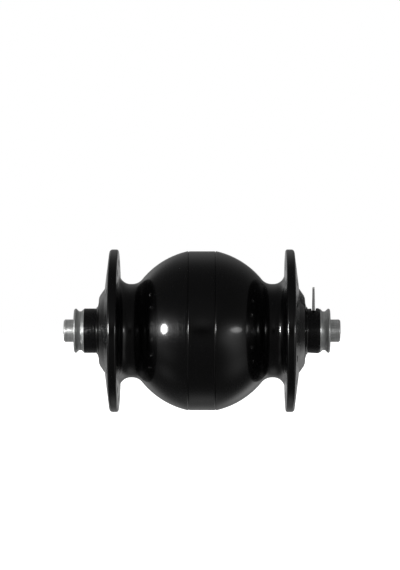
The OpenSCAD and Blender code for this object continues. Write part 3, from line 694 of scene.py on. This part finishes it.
def bare_metal(name, colour, roughness, grain_microns):
    """Ground, cast or plated metal that is hidden inside."""
    made, tree = material(name)
    where, _, _ = tree.place()
    cloud = tree.noise(where, scale=0.8, detail=3)
    grain = tree.noise(where, scale=6.0, detail=3)
    tree.principled({
        "Base Color": tree.mottle(cloud, colour, METAL_LIGHT_SHADE),
        "Metallic": 1.0,
        "Roughness": roughness + 0.15 * grain,
        "Normal": tree.bump(grain, grain_microns),
    })
    return made


def copper_wire(name, roughness, turn_microns):
    """Turns of enamelled copper wire, side by side, with painted shade between them and painted sheen
    on top.
    """
    made, tree = material(name)
    where, x, _ = tree.place()
    waves = {"bands_direction": "X", "wave_profile": "SIN"}
    turns_and_shade = tree.node("ShaderNodeTexWave", waves, {"Vector": where, "Scale": WIRE_SCALE})
    layers = tree.lines(x, scale=2.0, detail=2)
    tree.principled({
        # Painted shade and sheen: each turn is coloured darker between wires and lighter on its crest,
        # and the layers vary the tone
        "Base Color": tree.tint(0.6 * turns_and_shade + 0.4 * layers, COPPER_DARK_AND_SHADE, COPPER_LIGHT_AND_SHEEN),
        "Metallic": ENAMEL_METALLIC,
        "Roughness": roughness + 0.1 * layers,
        "Normal": tree.bump(turns_and_shade, turn_microns),
    })
    return made


# Each finish: its colour, its roughness, and the depth of its marks or grain in microns
finishes = {
    "axle_steel": turned_steel("axle_steel", (0.50, 0.505, 0.50), 0.28, 100.0),
    "collar_steel": turned_steel("collar_steel", (0.48, 0.49, 0.485), 0.28, 100.0),
    "sleeve_steel": turned_steel("sleeve_steel", (0.50, 0.50, 0.50), 0.3, 60.0),
    "black_plastic": turned_plastic("black_plastic", (0.0028, 0.0028, 0.003), 0.24, 90.0),
    "tab_metal": sheet_metal("tab_metal", (0.66, 0.66, 0.65), 0.4, 2.0),
    "black_shell": gloss_black("black_shell", (0.0007, 0.0007, 0.0008), 0.25, 45.0),
    "black_cap": gloss_black("black_cap", (0.0009, 0.0009, 0.001), 0.28, 60.0),
    "black_band": gloss_black("black_band", (0.0007, 0.0007, 0.0008), 0.25, 45.0),
    "bearing_steel": bare_metal("bearing_steel", (0.72, 0.72, 0.73), 0.08, 0.3),
    "cage_polymer": moulded("cage_polymer", (0.45, 0.33, 0.12), 0.45, 6.0),
    "seal_rubber": moulded("seal_rubber", (0.02, 0.02, 0.02), 0.55, 6.0),
    "spring_steel": bare_metal("spring_steel", (0.22, 0.22, 0.23), 0.3, 2.0),
    "magnet": bare_metal("magnet", (0.42, 0.42, 0.41), 0.25, 1.0),
    "stator_iron": bare_metal("stator_iron", (0.32, 0.33, 0.34), 0.4, 4.0),
    "bobbin_plastic": moulded("bobbin_plastic", (0.75, 0.71, 0.60), 0.4, 5.0),
    "copper": copper_wire("copper", 0.25, 60.0),
    "red_insulation": moulded("red_insulation", (0.42, 0.03, 0.025), 0.45, 5.0),
    "black_insulation": moulded("black_insulation", (0.03, 0.03, 0.03), 0.45, 5.0),
}

for entry in frame["record"]["subparts"]:
    for place in frame["nodes"][entry["node"]].material_slots:
        place.material = finishes[entry["material_slot"]]


def piece(name, bm, node, body, slot):
    """A finished piece in place of a CAD node."""
    bmesh.ops.scale(bm, vec=(MM, MM, MM), verts=bm.verts)
    mesh = bpy.data.meshes.new(name)
    bm.to_mesh(mesh)
    bm.free()
    mesh.polygons.foreach_set("use_smooth", [True] * len(mesh.polygons))
    mesh.set_sharp_from_angle(angle=SHARP_ANGLE)
    mesh.materials.append(finishes[slot])
    made = bpy.data.objects.new(name, mesh)
    scene.collection.objects.link(made)
    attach(made, body)
    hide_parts(node)


for side, word in ((LEFT, "left"), (RIGHT, "right")):
    piece(f"{word}_half_shell", shell_half(side), f"{word}_shell", "hub_shell", "black_shell")
    piece(f"{word}_cap", dust_cap(side), f"{word}_dust_cap", "hub_shell", "black_cap")
    piece(f"{word}_collar", end_collar(side), f"{word}_end_collar", "axle_assembly", "collar_steel")
piece("centre_band", band(), "flux_ring", "hub_shell", "black_band")
piece("bush", bush(), "left_bush", "axle_assembly", "black_plastic")
piece("connector_housing", connector_housing(), "connector_block", "axle_assembly", "black_plastic")
piece("front_tab", connector_tab(LEFT), "front_connector_tab", "axle_assembly", "tab_metal")
piece("rear_tab", connector_tab(RIGHT), "rear_connector_tab", "axle_assembly", "tab_metal")
piece("hollow_axle", hollow_axle(), "axle", "axle_assembly", "axle_steel")


# Studio: a white background, a pale floor below the hub, small lamps, and a dim room in the gloss

camera = bpy.data.objects.new("camera", bpy.data.cameras.new("camera"))
camera.data.sensor_width = SENSOR
camera.data.lens = SENSOR * CAMERA_AWAY / VIEW_HEIGHT
camera.location = (
    CENTRE_RIGHT + CAMERA_AWAY * math.sin(CAMERA_TURN),
    -CAMERA_AWAY * math.cos(CAMERA_TURN),
    CENTRE_UP,
)
camera.rotation_euler = (math.radians(QUARTER), 0, CAMERA_TURN)
scene.collection.objects.link(camera)
scene.camera = camera
scene.view_settings.view_transform = "Standard"


def lamp(name, turn, height, size, radiance, away=LAMP_AWAY, seen_in_gloss=True):
    """An area lamp that faces the hub, turned from the camera's side to the right, in degrees."""
    angle = math.radians(turn)
    area = math.pi / 4 * size[0] * size[1]
    data = bpy.data.lights.new(name, "AREA")
    data.shape = "ELLIPSE"
    data.size, data.size_y = size
    data.energy = radiance * math.pi * area
    made = bpy.data.objects.new(name, data)
    made.location = (away * math.sin(angle), -away * math.cos(angle), height)
    made.rotation_euler = made.location.to_track_quat("Z", "Y").to_euler()
    made.visible_camera = False
    made.visible_glossy = seen_in_gloss
    scene.collection.objects.link(made)


lamp("key_lamp", turn=-59, height=0.041, size=(0.13, 0.16), radiance=110.0)
lamp("side_lamp", turn=54, height=0.025, size=(0.28, 0.1), radiance=3.4)
lamp("right_lamp", turn=74.5, height=0.02, size=(0.06, 0.12), radiance=30.0)
lamp("left_lamp", turn=-110, height=0.015, size=(0.2, 0.04), radiance=10.0)
lamp(
    "ceiling_lamp", turn=180, height=1.2, size=(1.4, 1.0), radiance=4.0,
    away=0.05, seen_in_gloss=False,
)


def studio_world():
    """White where the camera sees it, and in reflections a dim room with paler places."""
    world = bpy.data.worlds.new("studio")
    world.cycles.sampling_method = "NONE"
    scene.world = world
    tree = Tree(world)
    way = tree.node("ShaderNodeTexCoord", output="Generated")
    dot = {"operation": "DOT_PRODUCT"}
    room = ROOM_REFLECTION
    for towards, narrowness, level in ROOM_GLOWS:
        inputs = {0: way, 1: Vector(towards).normalized()}
        cosine = tree.node("ShaderNodeVectorMath", dot, inputs, output="Value")
        room = room + level * (0.5 + 0.5 * cosine) ** narrowness
    white = (1 - ROOM_LIGHT) * (tree.ray("Camera") + tree.ray("Transmission"))
    strength = ROOM_LIGHT + white + (room - ROOM_LIGHT) * tree.ray("Glossy")
    inputs = {"Color": (1, 1, 1, 1), "Strength": strength}
    light = tree.node("ShaderNodeBackground", inputs=inputs)
    tree.node("ShaderNodeOutputWorld", inputs={"Surface": light})


def pale_floor():
    """A matt pale floor that fades into the white background and keeps the hub's shadow."""
    bm = bmesh.new()
    bmesh.ops.create_grid(
        bm, x_segments=FLOOR_CELLS, y_segments=FLOOR_CELLS, size=FLOOR_SIZE / 2,
    )
    bmesh.ops.translate(bm, vec=(0, 0, FLOOR_Z), verts=bm.verts)
    mesh = bpy.data.meshes.new("floor")
    bm.to_mesh(mesh)
    bm.free()
    made, tree = material("pale_floor")
    metres = tree.node("ShaderNodeTexCoord", output="Object")
    away = tree.node("ShaderNodeVectorMath", {"operation": "LENGTH"}, {0: metres}, output="Value")
    fade = tree.node("ShaderNodeMapRange", {"interpolation_type": "SMOOTHSTEP"}, {
        "Value": away,
        "From Min": FADE_FROM,
        "From Max": FADE_TO,
        "To Min": FADE_LEAST,
        "To Max": 1.0,
    })
    grey = (FLOOR_GREY, FLOOR_GREY, FLOOR_GREY, 1)
    matt = tree.node("ShaderNodeBsdfDiffuse", inputs={"Color": grey})
    inputs = {"Color": (1, 1, 1, 1), "Strength": fade * tree.ray("Camera")}
    white = tree.node("ShaderNodeEmission", inputs=inputs)
    tree.surface(tree.node("ShaderNodeAddShader", inputs={0: matt, 1: white}))
    mesh.materials.append(made)
    floor = bpy.data.objects.new("floor", mesh)
    floor.visible_glossy = False
    scene.collection.objects.link(floor)


studio_world()
pale_floor()
